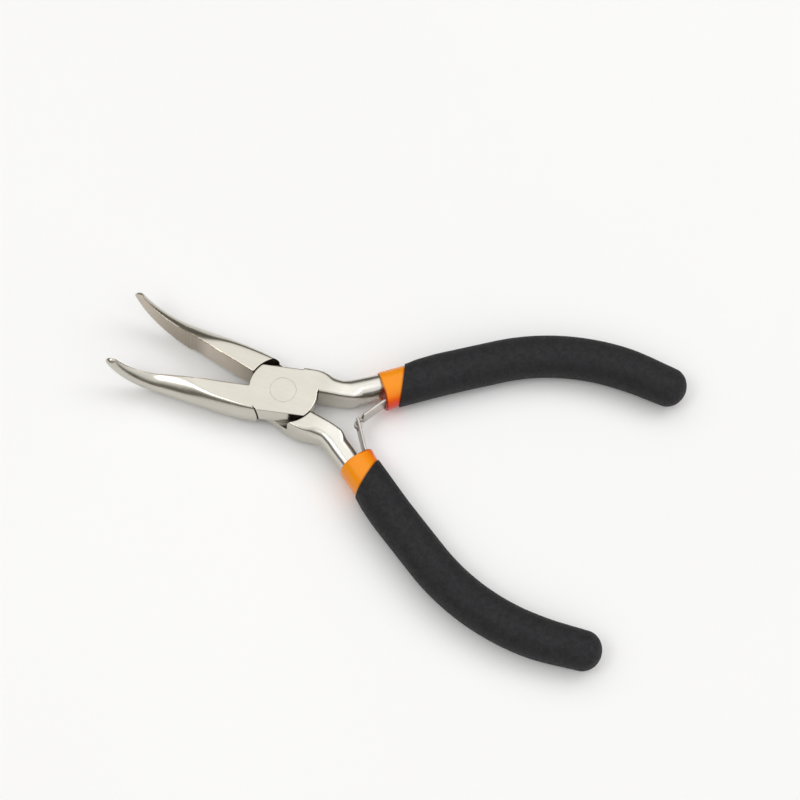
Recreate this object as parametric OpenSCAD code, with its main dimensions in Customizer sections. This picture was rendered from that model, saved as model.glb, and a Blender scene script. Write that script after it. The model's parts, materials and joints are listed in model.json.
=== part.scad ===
// Bent-nose mini pliers with a lap joint, dipped grips and a pair of return leaf springs.
// Frame: +Z along the pivot, lower joint face at z = 0, nose towards -X, grips towards +X.

/* [Joint] */
// Thickness of the two laps together
joint_t = 7.5; // [6.5:0.1:8.5]
// Radius of the round laps
lap_r = 7.7; // [7.2:0.1:8.2]
// Half-width of the joint at the middle of its rounded sides
band_half = 6.2; // [5.9:0.1:6.5]
// Radius of the rivet heads, flush with both faces
rivet_r = 2.95; // [2.6:0.05:3.2]
// Radius of the rivet shank
shank_r = 2.2; // [1.8:0.05:2.4]
// Angle between the jaws as the springs hold them
open_angle = 25; // [4:0.5:25]

/* [Nose] */
// Straight length of the jaws, from the pivot to the bend
nose_straight = 26.6; // [24:0.2:30]
// Radius of the bend
bend_r = 14; // [11:0.5:18]
// Angle through which the nose is bent
bend_angle = 57; // [35:1:65]
// Turn of the jaws' closing line from the middle line of the handles
jaw_skew = 0.75; // [0:0.05:1]
// Depth of the jaws below the lower joint face
nose_deep = 0.9; // [0:0.1:1]
// Straight length after the bend
tip_len = 0.8; // [0.4:0.1:3]
// Pitch of the gripping teeth
tooth_pitch = 0.9; // [0.8:0.1:1.4]
// Depth of the gripping teeth
tooth_depth = 0.18; // [0.1:0.02:0.3]

/* [Handles] */
// Slope of the straight part of the handles, with the jaws shut
handle_slope = 21.8; // [20.5:0.1:22.5]
// Length of the straight part of the handles
handle_straight = 35.8; // [32:0.2:38]
// Radius of the curved part of the handles
handle_r = 50; // [46:1:56]
// Slope of the handle ends, inwards
end_slope = 17.5; // [14:0.5:20]
// Half-width of the handle steel, towards the other handle
core_in = 2; // [1.7:0.1:2.1]
// Half-width of the handle steel, away from the other handle
core_out = 2.3; // [2:0.1:2.4]

/* [Grips] */
// Half-width of the grips at their thickest
grip_half = 4.75; // [4.6:0.05:4.9]
// Half-width of the sleeves at their mouths
sleeve_half = 4.4; // [4.2:0.05:4.5]
// Distance along the handle from its neck to the sleeve
sleeve_start = 8.1; // [7.6:0.1:8.6]
// Distance along the handle from its neck to the edge of the grip
grip_start = 13.3; // [12.8:0.1:14]
// Thickness of the grip over the sleeve
grip_lip = 0.25; // [0.15:0.05:0.3]

/* [Springs] */
// Length of each leaf from the sleeve's mouth to where the leaves cross
leaf_len = 7; // [6.8:0.1:7.2]
// Thickness of the leaves
leaf_t = 0.6; // [0.5:0.05:0.65]
// Width of the leaves
leaf_w = 4.4; // [4:0.1:4.6]

/* [Hidden] */
$fn = 64;

mid_z = joint_t / 2;
half_open = open_angle / 2;
lap_gap = 0.02;          // each lap stands back this far from the middle plane
shoulder_gap = 0.15;     // between a round lap and the shoulder around it
rivet_gap = 0.04;        // running clearance of the rivet in the half that turns on it
face_gap = 0.04;         // each jaw face stands back this far from the middle
head_h = 0.8;            // height of the conical rivet heads
skin = 0.05;             // room between the steel and the plastic around it

steel = [0.80, 0.78, 0.74];
spring_steel = [0.68, 0.66, 0.63];
orange = [0.96, 0.45, 0.08];
black = [0.10, 0.10, 0.11];

// ---- Helpers ----------------------------------------------------------------

// Value at x on a smooth run between the rows [x, value] of a table
function blend_at(t, x, i = 0) =
    x <= t[0][0] ? t[0][1] :
    i >= len(t) - 1 ? t[len(t) - 1][1] :
    x <= t[i + 1][0] ? mix(t[i], t[i + 1], (x - t[i][0]) / (t[i + 1][0] - t[i][0])) :
    blend_at(t, x, i + 1);
function mix(a, b, u) = a[1] + (b[1] - a[1]) * u;
function eased(u) = u <= 0 ? 0 : u >= 1 ? 1 : u * u * (3 - 2 * u);
function signed_power(v, p) = sign(v) * pow(abs(v), p);

// Solid through a list of rings, all with the same number of points
module loft(rings) {
    n = len(rings[0]);
    last = len(rings) - 1;
    points = [for (r = rings) each r];
    sides = [for (i = [0 : last - 1]) for (k = [0 : n - 1]) let (m = (k + 1) % n)
        each [[i * n + k, i * n + m, (i + 1) * n + k],
              [i * n + m, (i + 1) * n + m, (i + 1) * n + k]]];
    first_cap = [for (k = [1 : n - 2]) [0, k + 1, k]];
    last_cap = [for (k = [1 : n - 2]) [last * n, last * n + k, last * n + k + 1]];
    faces = concat(sides, first_cap, last_cap);
    inside_out = signed_volume(points, faces) > 0;
    polyhedron(points, inside_out ? [for (f = faces) [f[2], f[1], f[0]]] : faces,
               convexity = 6);
}
// Six times the volume, positive when the faces run anticlockwise seen from outside
function signed_volume(p, faces) =
    let (v = [for (f = faces) p[f[0]] * cross(p[f[1]], p[f[2]])]) v * [for (x = v) 1];

// ---- Nose -------------------------------------------------------------------

// Half-width of a jaw, from its gripping face to its back, by distance from the pivot
jaw_width = [[4, 6.3], [8, 6.25], [12, 5.8], [15, 5.35], [18, 4.8], [21.5, 4.1],
             [25.5, 3.3], [30, 2.5], [36, 1.65], [41, 0.95]];
// Height of the round back above its middle line; the joint's upper flat cuts it
jaw_rise = [[4, 7.4], [8, 6.4], [12, 5.7], [15, 5.15], [18, 4.6], [21, 3.95],
            [24, 3.45], [27, 3], [30, 2.5], [36, 1.75], [41, 1.1]];
// Depth of the round back below its middle line; its own lower flat cuts it
jaw_depth = [[4, 7.4], [8, 6.8], [12, 6.3], [15, 5.9], [18, 5.5], [21, 5],
             [24, 4.7], [27, 4.3], [30, 3.8], [36, 2.5], [41, 1.3]];
bend_len = bend_r * bend_angle * PI / 180;
jaw_len = nose_straight + bend_len + tip_len;

// Point [x, z] and slope of the middle of the nose, at distance s from the pivot
function nose_bend(s) = min(max((s - nose_straight) / bend_len, 0), 1) * bend_angle;
function nose_drop(s) = -0.15 * eased((s - 17) / 12);
function nose_x(s) = -min(s, nose_straight) - bend_r * sin(nose_bend(s))
    - max(s - nose_straight - bend_len, 0) * cos(bend_angle);
function nose_z(s) = mid_z + nose_drop(s) + bend_r * (1 - cos(nose_bend(s)))
    + max(s - nose_straight - bend_len, 0) * sin(bend_angle);

// D-shaped ring of a jaw: flat gripping face, round back, cut by the flats
jaw_sides = 9;           // facets above and below the middle line
function nose_floor(s) = mid_z + nose_deep * eased((s - 8) / 3);
function jaw_ring(s, shrink = 1) =
    let (w = blend_at(jaw_width, s) * shrink, b = nose_bend(s),
         rise = blend_at(jaw_rise, s) * shrink, depth = blend_at(jaw_depth, s) * shrink,
         top = asin(min(1, mid_z / rise)), low = asin(min(1, nose_floor(s) / depth)))
    concat([jaw_point(s, b, 0, rise * sin(top)), jaw_point(s, b, 0, -depth * sin(low))],
           [for (i = [0 : jaw_sides - 1]) let (a = low * (1 - i / jaw_sides))
               jaw_point(s, b, max(w * cos(a), 0.02), -depth * sin(a))],
           [for (i = [0 : jaw_sides]) let (a = top * i / jaw_sides)
               jaw_point(s, b, max(w * cos(a), 0.02), rise * sin(a))]);
function jaw_point(s, b, y, z) =
    [nose_x(s) + z * sin(b), -face_gap - y, nose_z(s) + z * cos(b)];

module jaw() {
    stations = concat([4, 6], [for (s = [8 : 2 : nose_straight]) s],
        [for (i = [1 : 9]) nose_straight + bend_len * i / 9]);
    loft([for (i = [len(stations) - 1 : -1 : 0]) jaw_ring(stations[i])]);
    // Rounded end of the nose
    loft([for (i = [4 : -1 : 0])
        jaw_ring(jaw_len - tip_len * (1 - sin(i * 22.5)), max(cos(i * 22.5), 0.45))]);
}

// ---- Handles ----------------------------------------------------------------

neck = [13.96, 2.34];    // where the straight part of the handle starts
arc_len = handle_r * (handle_slope + end_slope) * PI / 180;
handle_len = handle_straight + arc_len + 10;

// Slope and point [x, y] of the middle of the handle, at distance s from its neck
function handle_heading(s) =
    handle_slope - min(max((s - handle_straight) / arc_len, 0), 1) * (handle_slope + end_slope);
function handle_point(s) =
    let (a = min(s, handle_straight), h = handle_heading(s),
         c = max(s - handle_straight - arc_len, 0))
    neck + a * [cos(handle_slope), sin(handle_slope)]
         + handle_r * [sin(handle_slope) - sin(h), cos(h) - cos(handle_slope)]
         + c * [cos(end_slope), -sin(end_slope)];

// Ring across the handle: half-widths inwards and outwards, half-height, squareness of
// its inner and outer sides, and the slope of its plane
function handle_ring(s, w_in, w_out, h, sq_in, sq_out, slope, n) =
    let (c = handle_point(s))
    [for (k = [0 : n - 1])
        let (a = 360 * k / n, outer = cos(a) > 0, sq = outer ? sq_out : sq_in,
             v = signed_power(cos(a), 2 / sq) * (outer ? w_out : w_in),
             z = signed_power(sin(a), 2 / sq) * h)
        [c[0] - v * sin(slope), c[1] + v * cos(slope), mid_z + z]];

// Steel of the neck, from the joint to the straight handle: [x, inner y, outer y]
neck_rows = [[4, 0.7, 6.2], [7, 0.7, 6.2], [8.5, 0.72, 6.05], [10, 0.74, 5.6],
             [12, 0.76, 5.05], [13.5, 0.78, 4.9]];
core_sides = 28;
function neck_ring(row) =
    let (y = (row[1] + row[2]) / 2, w = (row[2] - row[1]) / 2)
    [for (k = [0 : core_sides - 1])
        let (a = 360 * k / core_sides, sq = cos(a) > 0 ? 3.2 : 7)
        [row[0], y + signed_power(cos(a), 2 / sq) * w,
         mid_z + signed_power(sin(a), 2 / sq) * mid_z]];
function core_ring(s, slope, room = 0) =
    let (thin = eased((s - 20) / 40), h = mid_z - 0.8 * eased(s / 5) - 0.9 * thin + room)
    handle_ring(s, core_in - 0.3 * thin + room, core_out - 0.4 * thin + room, h,
                7 - 3 * eased(s / 8), 3.2, slope, core_sides);
core_end = handle_len - 4.5;

module handle_steel() {
    loft(concat([for (row = neck_rows) neck_ring(row)],
        [core_ring(1.6, handle_slope * 0.6), core_ring(3, handle_slope * 0.9)],
        [for (i = [0 : 3]) core_ring(5 + i * 10, handle_slope)],
        [for (i = [0 : 6]) let (s = handle_straight + 3 + (core_end - handle_straight - 3) * i / 6)
            core_ring(s, handle_heading(s))]));
}

// ---- Forged halves ----------------------------------------------------------

// Section of the joint: flat above and below, with gently rounded sides
side_bulge = 8.7;        // half-height of the ellipse that the sides are part of
band_cut = asin(mid_z / side_bulge);
band_section = [for (way = [1, -1]) for (i = [-4 : 4]) let (a = band_cut * i / 4)
    [way * band_half * cos(a), way * side_bulge * sin(a)]];

// One half before its lap is cut: jaw on the -Y side, handle on the +Y side
module blank(skew_way) {
    intersection() {
        cylinder(r = lap_r, h = joint_t, $fn = 128);
        translate([-lap_r, 0, mid_z]) rotate([90, 0, 90]) linear_extrude(2 * lap_r)
            polygon(band_section);
    }
    rotate([0, 0, -jaw_skew * skew_way]) jaw();
    handle_steel();
}

// Room for the other half's round lap, above or below the middle plane
module lap_room(upper) {
    r = lap_r + shoulder_gap;
    z = upper ? mid_z - lap_gap : mid_z + lap_gap - joint_t;
    translate([0, 0, z]) cylinder(r = r, h = joint_t, $fn = 128);
}

// The rivet's outline turned about the pivot: conical heads and a straight shank
module rivet_shape(gap) {
    end = gap > 0 ? 0.5 : 0;
    rotate_extrude($fn = 96) polygon([
        [0, -end], [rivet_r + gap + end, -end], [rivet_r + gap, 0],
        [shank_r + gap, head_h], [shank_r + gap, joint_t - head_h],
        [rivet_r + gap, joint_t], [rivet_r + gap + end, joint_t + end], [0, joint_t + end]]);
}

// Grooves across the gripping face, square to the nose
module teeth() {
    first = 24;
    count = floor((jaw_len - tip_len - first) / tooth_pitch);
    tooth_side = tooth_depth * sqrt(2);
    for (i = [0 : count - 1]) {
        s = first + i * tooth_pitch;
        translate([nose_x(s), -face_gap, nose_z(s)]) rotate([0, nose_bend(s), 0])
            rotate([0, 0, 45]) cube([tooth_side, tooth_side, 10], center = true);
    }
}

module turned(side) {
    if (side == 0) rotate([0, 0, half_open]) children();
    else rotate([0, 0, -half_open]) mirror([0, 1, 0]) children();
}

module lower_jaw_half() {
    color(steel) turned(0) difference() {
        blank(1);
        lap_room(false);
        rotate([0, 0, -jaw_skew]) teeth();
        rivet_shape(0);
        foot_rivet_hole();
    }
}

module upper_jaw_half() {
    color(steel) turned(1) difference() {
        blank(-1);
        lap_room(true);
        rotate([0, 0, jaw_skew]) teeth();
        rivet_shape(rivet_gap);
        foot_rivet_hole();
    }
}

module pivot_rivet() {
    color(steel) rivet_shape(0);
}

// ---- Leaf springs -----------------------------------------------------------

leaf_root = [22.39, 1.25];     // where a leaf leaves its sleeve, jaws shut
leaf_shut = 9.4;               // slope of the leaf towards the middle, jaws shut
leaf_ratio = 1.45;             // turn of a leaf for each degree that the jaws close
leaf_dir = 180 + leaf_shut + leaf_ratio * open_angle;
tongue_w = 1.2;
slot_w = 1.9;
foot_bend = [26.6, 4.35];      // where the foot meets the steel inside the sleeve
foot_at = 16.5;                // distance of the foot's rivet along the handle
foot_len = 4;                  // from the rivet to the end of the foot
foot_rivet_r = 0.75;

module leaf(side) {
    turned(side) translate([leaf_root[0], leaf_root[1], mid_z])
        rotate([0, 0, leaf_dir]) difference() {
            union() {
                translate([0, -leaf_t / 2, -leaf_w / 2]) cube([leaf_len - 1.2, leaf_t, leaf_w]);
                cylinder(r = leaf_t / 2, h = leaf_w, center = true, $fn = 24);
                if (side == 0)
                    translate([leaf_len - 1.3, -leaf_t / 2, -tongue_w / 2])
                        cube([2, leaf_t, tongue_w]);
                else
                    translate([leaf_len - 1.3, -leaf_t / 2, -leaf_w / 2])
                        cube([1.3, leaf_t, leaf_w]);
            }
            if (side == 1)
                translate([leaf_len - 1.9, -leaf_t, -slot_w / 2]) cube([3, 2 * leaf_t, slot_w]);
        }
}

// Inner face of the handle steel, a little clear of it, at distance s
function foot_point(s) =
    let (p = handle_point(s), h = handle_heading(s), d = core_in + 0.02 + leaf_t / 2)
    p + d * [sin(h), -cos(h)];

// Outline of a strip of the given thickness along a list of points
function strip_side(pts, d) = [for (i = [0 : len(pts) - 1])
    let (a = pts[max(i - 1, 0)], b = pts[min(i + 1, len(pts) - 1)], t = (b - a) / norm(b - a))
    pts[i] + d * [-t[1], t[0]]];
function reversed(v) = [for (i = [len(v) - 1 : -1 : 0]) v[i]];
foot_line = [leaf_root + [0.3, 0.22], [24.2, 2.35], [26.2, 4.1], foot_point(14),
             foot_point(foot_at + foot_len)];

module foot_strip(t, w) {
    translate([0, 0, mid_z - w / 2]) linear_extrude(w)
        polygon(concat(strip_side(foot_line, t / 2), reversed(strip_side(foot_line, -t / 2))));
}

module leaf_foot(side) {
    turned(side) difference() {
        foot_strip(leaf_t, leaf_w);
        foot_rivet_at() cylinder(r = foot_rivet_r, h = 6, center = true, $fn = 32);
    }
}

module foot_rivet_at() {
    p = handle_point(foot_at);
    translate([p[0], p[1], mid_z]) rotate([0, 0, handle_heading(foot_at)])
        translate([0, -core_in - leaf_t / 2, 0]) rotate([90, 0, 0]) children();
}

module foot_rivet_hole() {
    foot_rivet_at() translate([0, 0, -2]) cylinder(r = foot_rivet_r, h = 4, $fn = 32);
}

module foot_rivet(side) {
    turned(side) foot_rivet_at() rotate_extrude($fn = 32)
        polygon([[0, -2], [foot_rivet_r, -2], [foot_rivet_r, leaf_t / 2 + 0.02],
                 [foot_rivet_r + 0.5, leaf_t / 2 + 0.02], [foot_rivet_r + 0.3, leaf_t / 2 + 0.4],
                 [0, leaf_t / 2 + 0.45]]);
}

module leaf_left() {
    color(spring_steel) leaf(0);
}
module leaf_right() {
    color(spring_steel) leaf(1);
}
module leaf_foot_left() {
    color(spring_steel) leaf_foot(0);
}
module leaf_foot_right() {
    color(spring_steel) leaf_foot(1);
}
module foot_rivet_left() {
    color(steel) foot_rivet(0);
}
module foot_rivet_right() {
    color(steel) foot_rivet(1);
}

// ---- Sleeves and grips ------------------------------------------------------

grip_sides = 28;
sleeve_end = grip_start + 4;
// Slope of the ring plane: square to the handle at the sleeve's mouth, square to the
// tool where the grip starts, and back to the handle's own slope behind it
function plane_slope(s) =
    s < grip_start ? handle_slope * (1 - eased((s - sleeve_start) / (grip_start - sleeve_start))) :
    handle_heading(s) * eased((s - grip_start) / 9);
// Ring of the plastic, its half-widths corrected for the slope of the ring plane
function skin_ring(s, w_in, w_out, h) =
    let (k = cos(handle_heading(s) - plane_slope(s)))
    handle_ring(s, w_in / k, w_out / k, h, 2.15, 2.15, plane_slope(s), grip_sides);
// The plastic is thin on the outer side of the sleeve and swells inwards over the leaf
function sleeve_part(s) = (s - sleeve_start) / (grip_start - sleeve_start);
function sleeve_out(s) = 3.2 + 0.4 * sleeve_part(s);
function sleeve_in(s) = sleeve_half + 1.1 - 0.45 * sleeve_part(s);
function grip_in(s) = blend_at([[0, sleeve_in(grip_start) + grip_lip], [9, grip_half], [52, grip_half],
    [60, grip_half - 0.25], [66, grip_half - 0.4]], s - grip_start);
function grip_out(s) = blend_at([[0, sleeve_out(grip_start) + grip_lip], [2.5, 4.35], [9, grip_half],
    [52, grip_half], [60, grip_half - 0.25], [66, grip_half - 0.4]], s - grip_start);
function grip_h(s) = (grip_in(s) + grip_out(s)) / 2;
function cavity_ring(s) = core_ring(s, handle_heading(s), skin);

module sleeve(side) {
    mouth = sleeve_start;
    h = sleeve_half - 0.15;
    turned(side) difference() {
        loft(concat(
            [skin_ring(mouth, sleeve_in(mouth) - 0.25, sleeve_out(mouth) - 0.2, h - 0.35),
             skin_ring(mouth + 0.15, sleeve_in(mouth) - 0.05, sleeve_out(mouth) - 0.05, h - 0.1)],
            [for (i = [1 : 6]) let (s = mouth + (grip_start - mouth) * i / 6)
                skin_ring(s, sleeve_in(s), sleeve_out(s), h)],
            [skin_ring(grip_start + 0.02, 3.3, 3.1, 3.8), skin_ring(sleeve_end, 3.2, 3.1, 3.7)]));
        loft([for (i = [0 : 4]) cavity_ring(mouth - 3 + i * 4)]);
        foot_room();
    }
}

module foot_room() {
    foot_strip(leaf_t + 2 * skin, leaf_w + 2 * skin);
    foot_rivet_at() cylinder(r = foot_rivet_r + 0.6, h = leaf_t + 1.1, center = true, $fn = 32);
}

module grip(side) {
    turned(side) difference() {
        loft(concat(
            [for (i = [0 : 4]) let (s = grip_start + 0.05 + i * 2.25) grip_ring(s, 1)],
            [for (i = [1 : 13]) let (s = grip_start + 9 + (handle_len - grip_start - 13) * i / 13)
                grip_ring(s, 1)],
            [for (i = [1 : 5]) grip_ring(handle_len - 4 + 4 * sin(i * 17), cos(i * 17))]));
        loft([skin_ring(grip_start - 3, 3.35, 3.15, 3.85), skin_ring(grip_start, 3.35, 3.15, 3.85),
              skin_ring(sleeve_end + 0.05, 3.25, 3.15, 3.75)]);
        loft(concat([for (i = [0 : 5]) cavity_ring(sleeve_end - 1 + i * 5)],
            [for (i = [0 : 5])
                let (s = handle_straight + 8 + (core_end + 0.1 - handle_straight - 8) * i / 5)
                cavity_ring(s)]));
        foot_room();
    }
}
function grip_ring(s, k) = skin_ring(s, grip_in(s) * k, grip_out(s) * k, grip_h(s) * k);

module sleeve_left() {
    color(orange) sleeve(0);
}
module sleeve_right() {
    color(orange) sleeve(1);
}
module grip_left() {
    color(black) grip(0);
}
module grip_right() {
    color(black) grip(1);
}

lower_jaw_half();
upper_jaw_half();
pivot_rivet();
sleeve_left();
sleeve_right();
grip_left();
grip_right();
leaf_left();
leaf_right();
leaf_foot_left();
leaf_foot_right();
foot_rivet_left();
foot_rivet_right();
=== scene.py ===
import json
import math

import bmesh
import bpy
import numpy as np
from mathutils import Matrix, Vector


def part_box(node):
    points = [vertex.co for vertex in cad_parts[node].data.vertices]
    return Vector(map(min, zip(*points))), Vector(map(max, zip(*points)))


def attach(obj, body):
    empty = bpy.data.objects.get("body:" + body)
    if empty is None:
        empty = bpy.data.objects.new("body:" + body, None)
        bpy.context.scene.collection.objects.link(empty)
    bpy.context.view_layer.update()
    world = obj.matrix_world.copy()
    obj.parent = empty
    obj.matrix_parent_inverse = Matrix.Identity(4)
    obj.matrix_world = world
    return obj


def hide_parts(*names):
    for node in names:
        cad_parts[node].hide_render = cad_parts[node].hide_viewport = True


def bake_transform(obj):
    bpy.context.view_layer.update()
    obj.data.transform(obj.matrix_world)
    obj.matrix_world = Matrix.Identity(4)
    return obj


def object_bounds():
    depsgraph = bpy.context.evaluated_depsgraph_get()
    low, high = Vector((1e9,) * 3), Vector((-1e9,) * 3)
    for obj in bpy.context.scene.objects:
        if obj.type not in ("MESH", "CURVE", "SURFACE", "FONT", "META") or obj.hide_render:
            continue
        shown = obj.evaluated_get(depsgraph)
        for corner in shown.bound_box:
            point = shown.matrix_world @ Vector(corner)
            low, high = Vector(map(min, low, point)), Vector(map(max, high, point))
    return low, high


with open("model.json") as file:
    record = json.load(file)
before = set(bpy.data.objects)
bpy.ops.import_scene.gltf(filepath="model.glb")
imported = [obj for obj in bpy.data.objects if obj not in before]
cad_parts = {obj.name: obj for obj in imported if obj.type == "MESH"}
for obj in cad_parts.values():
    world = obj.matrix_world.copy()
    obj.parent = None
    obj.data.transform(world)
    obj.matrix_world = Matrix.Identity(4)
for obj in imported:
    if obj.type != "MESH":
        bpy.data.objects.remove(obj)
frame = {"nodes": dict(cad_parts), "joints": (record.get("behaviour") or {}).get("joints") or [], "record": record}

# Looks of the bent-nose pliers. The shape functions work in millimetres, in the frame's
# axes, on one half at a time with the jaws shut: jaw on the -Y side, handle on the +Y
# side. place() then opens the half, or mirrors it first for the right half.

CAD_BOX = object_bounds()
MM = 0.001
JOINTS = {j["name"]: j for j in frame["joints"]}

# ---- Sizes taken from the frame -------------------------------------------------------

RIVET_LOW, RIVET_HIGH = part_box("pivot_rivet")
JOINT_T = (RIVET_HIGH.z - RIVET_LOW.z) / MM
RIVET_R = RIVET_HIGH.x / MM
MID_Z = JOINT_T / 2
HALF_OPEN = JOINTS["jaw_pivot"]["range_deg"][1] / 2
LEAF_ROOT_OPEN = [c / MM for c in JOINTS["leaf_left_flex"]["pos_m"]]
LEAF_RATIO = abs(frame["record"]["behaviour"]["couplings"][0]["ratio"])

# ---- Sizes of the design --------------------------------------------------------------

# Joint
LAP_R = 7.7
BAND_HALF = 6.2
SIDE_BULGE = 8.7
LAP_GAP = 0.03
SHOULDER_GAP = 0.15
FORGING_GRID = 0.14

# Nose; distances run from the pivot along the middle line. The tables give the round
# back's width, and the height and the depth of the section above and below that line.
NOSE_STRAIGHT = 26.6
BEND_R = 14.0
BEND_ANGLE = math.radians(57)
BEND_LEN = BEND_R * BEND_ANGLE
TIP_LEN = 1.1
JAW_LEN = NOSE_STRAIGHT + BEND_LEN + TIP_LEN
JAW_SKEW = math.radians(0.75)
NOSE_SAG = 0.15
NOSE_DEEP = 0.9
NOSE_LEAN = math.radians(17)
FLAT_SHARPNESS = 14
FACE_GAP = 0.04
JAW_WIDTH = [(4, 6.3), (8, 6.25), (12, 5.8), (15, 5.35), (18, 4.8), (21.5, 4.1),
             (25.5, 3.3), (30, 2.5), (36, 1.7), (41.3, 1.05)]
JAW_RISE = [(4, 7.4), (8, 6.4), (12, 5.7), (15, 5.15), (18, 4.6), (21, 3.95),
            (24, 3.45), (27, 3.0), (30, 2.5), (36, 1.8), (41.3, 1.2)]
JAW_DEPTH = [(4, 7.4), (8, 6.8), (12, 6.3), (15, 5.9), (18, 5.5), (21, 5.0),
             (24, 4.7), (27, 4.3), (30, 3.8), (36, 2.5), (41, 1.3)]
TEETH_FROM = 24.0
TOOTH_PITCH = 0.9
TOOTH_DEPTH = 0.2

# Neck and handle; distances run from NECK along the handle's middle line. The neck's
# tables give y of its inner and its outer side at x.
NECK = np.array([13.96, 2.34])
HANDLE_SLOPE = math.radians(21.8)
END_SLOPE = math.radians(17.5)
HANDLE_STRAIGHT = 35.8
HANDLE_R = 50.0
ARC_LEN = HANDLE_R * (HANDLE_SLOPE + END_SLOPE)
HANDLE_LEN = HANDLE_STRAIGHT + ARC_LEN + 10
NECK_IN = [(4, 0.7), (7, 0.7), (8.5, 0.68), (10, 0.62), (12, 0.52), (13.5, 0.48)]
NECK_OUT = [(4, 6.2), (7, 6.15), (8.5, 6.0), (10, 5.7), (12, 5.2), (13.5, 5.05)]
CORE_IN = 2.0
CORE_OUT = 2.3
CORE_END = HANDLE_LEN - 4.5
CORE_SIDES = 72

# Plastic; pairs are for the sleeve's mouth and the grip's edge, triples for the half-width
# towards the other handle, the half-width away from it and the half-height. TUCKED is the
# sleeve's outside under the grip, at its front, middle and end, TUCKED_BORE the grip's bore
# round it, and GRIP_BORE the bore just behind it.
SLEEVE_START = 8.1
GRIP_START = 13.3
SLEEVE_END = GRIP_START + 4
SLEEVE_IN = (5.5, 5.05)
SLEEVE_OUT = (3.2, 3.6)
SLEEVE_HIGH = 4.25
SLEEVE_RIM = 0.35
SLEEVE_ROOM = 0.05
TUCKED = ((3.3, 3.1, 3.8), (3.25, 3.1, 3.75), (3.2, 3.1, 3.7))
GRIP_HALF = 4.75
GRIP_LIP = 0.25
GRIP_EDGE = 0.12
GRIP_ROUND = 4.0
GRIP_SETTLED = 9
GRIP_ROOM = 0.12
GRIP_BORE = (3.05, 2.6, 3.2)
TUCKED_BORE = (3.35, 3.15, 3.85)
SKIN_SIDES = 96
SKIN_SQUARE = 2.15

# Leaf springs; LEAF_SHUT is the blade's angle to -X with the jaws shut, in degrees. Each
# of LEAF_ENDS, left and right, says how many degrees the end is rolled, which way, and how
# far past LEAF_LEN the roll starts. The FOOT values lead from the blade's root to the steel.
LEAF_T = 0.6
LEAF_W = 4.4
LEAF_LEN = 7.0
LEAF_SHUT = 9.4
LEAF_CORNER = LEAF_T * 0.3
TONGUE_W = 1.4
TONGUE_LEN = 1.5
TONGUE_TAPER = 0.3
SLOT_W = 1.9
SLOT_FROM, SLOT_TO = LEAF_LEN - 2.0, LEAF_LEN + 2.5
HOOK_R = 0.62
HOOK_PAST = 0.4
HOOK_CLEAR = 0.2
HOOK_ROOM_END = 1.1
LEAF_ENDS = ((250, 1, HOOK_PAST), (40, -1, 0.15))
# Centre of the painted shade round the hook, where the two leaves interlock.
HOOK_SHADE = Vector((18.0, 0, MID_Z - 0.6))
FOOT_START = (0.3, 0.22)
FOOT_BENDS = ((24.2, 2.35), (26.2, 4.1))
FOOT_FLAT = (14, 20.5)
FOOT_GAP = 0.02
FOOT_ROOM = 0.2


# ---- Small maths ----------------------------------------------------------------------

def eased(u):
    u = min(max(u, 0.0), 1.0)
    return u * u * (3 - 2 * u)


def rising(s, start, length):
    """Smooth step from 0 at start to 1 a length further on."""
    return eased((s - start) / length)


def along(table, x, reach=1.2):
    """Value at x in a table of (x, value) rows, with the table's corners rounded off."""
    xs, values = zip(*table)
    near = np.linspace(x - reach, x + reach, 9)
    return float(np.mean(np.interp(near, xs, values)))


def signed_power(v, p):
    return math.copysign(abs(v) ** p, v)


def unit_vector(angle):
    """Unit vector in the tool's plane, at an angle in degrees from +X."""
    a = math.radians(angle)
    return np.array([math.cos(a), math.sin(a)])


def quarter_turned(v):
    return np.array([-v[1], v[0]])


def rotation_z(angle):
    return Matrix.Rotation(angle, 4, "Z")


def placing(side):
    """Matrix that opens the left half (side 0) or the mirrored right half (side 1)."""
    half = math.radians(HALF_OPEN)
    if side == 0:
        return rotation_z(half)
    return rotation_z(-half) @ Matrix.Diagonal((1, -1, 1, 1))


# ---- Mesh tools -----------------------------------------------------------------------

def new_object(name, mesh):
    obj = bpy.data.objects.new(name, mesh)
    bpy.context.scene.collection.objects.link(obj)
    return obj


def mesh_object(name, points, faces):
    mesh = bpy.data.meshes.new(name)
    mesh.from_pydata([tuple(p) for p in points], [], faces)
    bm = bmesh.new()
    bm.from_mesh(mesh)
    bmesh.ops.recalc_face_normals(bm, faces=bm.faces)
    bm.to_mesh(mesh)
    bm.free()
    return new_object(name, mesh)


def loft(name, rings, joined=False):
    """Closed surface through rings with equal numbers of points. joined closes the last
    ring onto the first, as in a tube with walls; otherwise both ends get a cap."""
    n = len(rings[0])
    count = len(rings)
    points = [p for ring in rings for p in ring]
    faces = []
    for i in range(count if joined else count - 1):
        j = (i + 1) % count
        for k in range(n):
            m = (k + 1) % n
            faces.append((i * n + k, i * n + m, j * n + m, j * n + k))
    if not joined:
        faces.append(tuple(range(n)))
        faces.append(tuple(range((count - 1) * n, count * n)))
    return mesh_object(name, points, faces)


def cylinder(name, radius, z0, z1, sides=192):
    circle = [(radius * math.cos(a), radius * math.sin(a))
              for a in np.linspace(0, 2 * math.pi, sides, endpoint=False)]
    return loft(name, [[(x, y, z) for x, y in circle] for z in (z0, z1)])


def lathe(name, profile, sides=128):
    """Solid turned about Z from a profile of (radius, z) rows that starts and ends on it."""
    inner = profile[1:-1]
    angles = np.linspace(0, 2 * math.pi, sides, endpoint=False)
    rings = [[(r * math.cos(a), r * math.sin(a), z) for a in angles] for r, z in inner]
    return loft(name, rings)


def apply_modifiers(obj):
    depsgraph = bpy.context.evaluated_depsgraph_get()
    mesh = bpy.data.meshes.new_from_object(obj.evaluated_get(depsgraph))
    obj.modifiers.clear()
    obj.data = mesh
    return obj


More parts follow.
